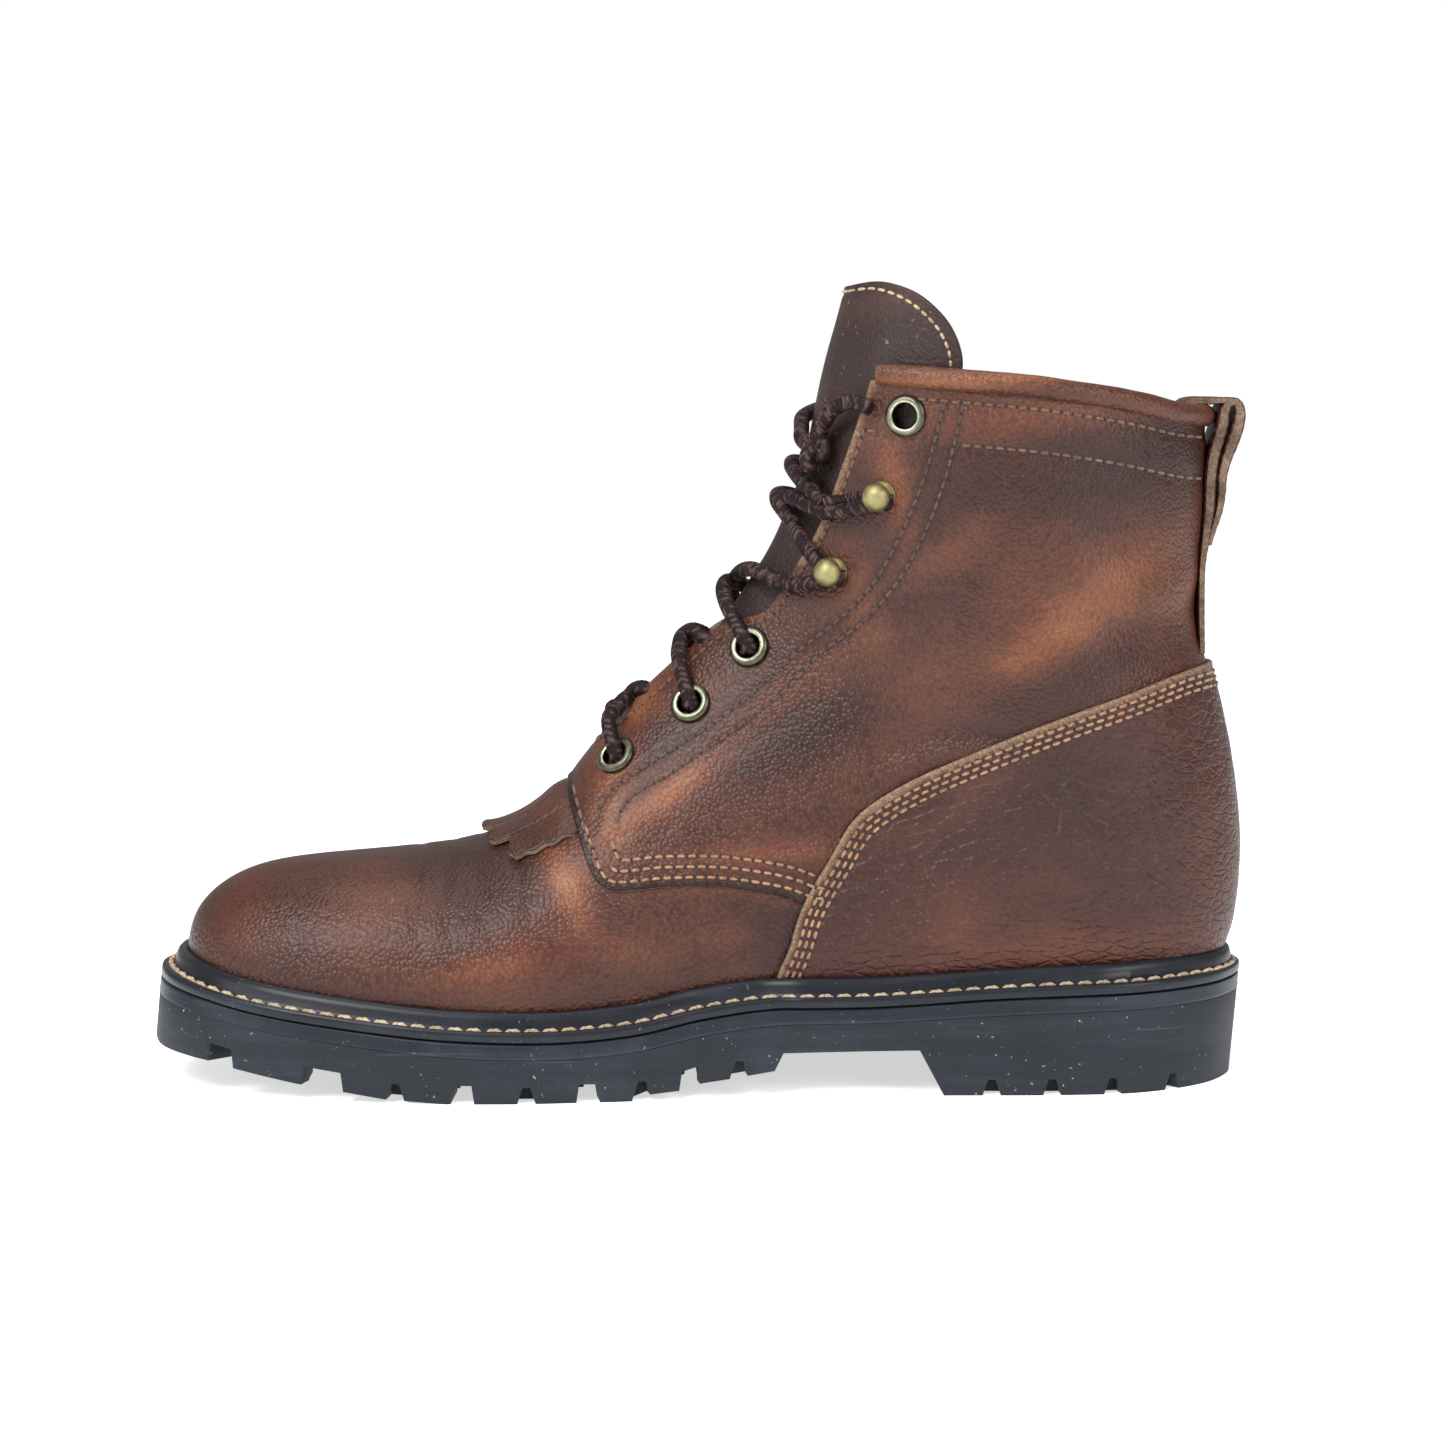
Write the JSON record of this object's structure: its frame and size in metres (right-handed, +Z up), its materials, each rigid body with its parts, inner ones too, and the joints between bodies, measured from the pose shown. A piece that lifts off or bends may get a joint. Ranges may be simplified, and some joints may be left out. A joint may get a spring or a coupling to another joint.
{
  "type": "lace-up work boot",
  "caption": "Ankle-high lace-up leather work boot with a fringed tongue flap, padded collar, heel pull loop and a thick lugged rubber sole, right foot.",
  "frame": {"origin": "on the floor, under the middle of the boot's bounding box", "axes": "+X towards the toe, +Y towards the inner (medial) side of the foot, +Z up"},
  "size_m": [0.3042, 0.1106, 0.22],
  "materials": {
    "upper_leather": "oiled pull-up leather, semi-gloss, brown with tan patches",
    "counter_leather": "oiled leather, darker, finely wrinkled",
    "tongue_leather": "soft dark brown leather, dull",
    "insole_leather": "tan lining leather, dull",
    "sole_rubber": "charcoal rubber, matt with light scuffs",
    "welt_rubber": "black rubber, satin",
    "fittings": "antique brass",
    "lace_cord": "round braided polyester, dark maroon brown with light flecks"
  },
  "bodies": {
    "root": {"outsole": "sole_rubber", "midsole": "sole_rubber", "welt": "welt_rubber", "insole": "insole_leather", "upper": "upper_leather", "heel_counter": "counter_leather", "tongue": "tongue_leather", "fringe_flap": "upper_leather", "collar_roll": "upper_leather", "pull_loop": "upper_leather", "eyelet_inner_1": "fittings", "eyelet_outer_1": "fittings", "eyelet_inner_2": "fittings", "eyelet_outer_2": "fittings", "eyelet_inner_3": "fittings", "eyelet_outer_3": "fittings", "eyelet_inner_4": "fittings", "eyelet_outer_4": "fittings", "hook_inner_1": "fittings", "hook_outer_1": "fittings", "hook_inner_2": "fittings", "hook_outer_2": "fittings", "lace_crossing_1": "lace_cord", "lace_crossing_2": "lace_cord", "lace_crossing_3": "lace_cord", "lace_crossing_4": "lace_cord", "lace_crossing_5": "lace_cord", "lace_knot": "lace_cord", "lace_end_inner": "lace_cord", "lace_end_outer": "lace_cord"}
  },
  "joints": []
}
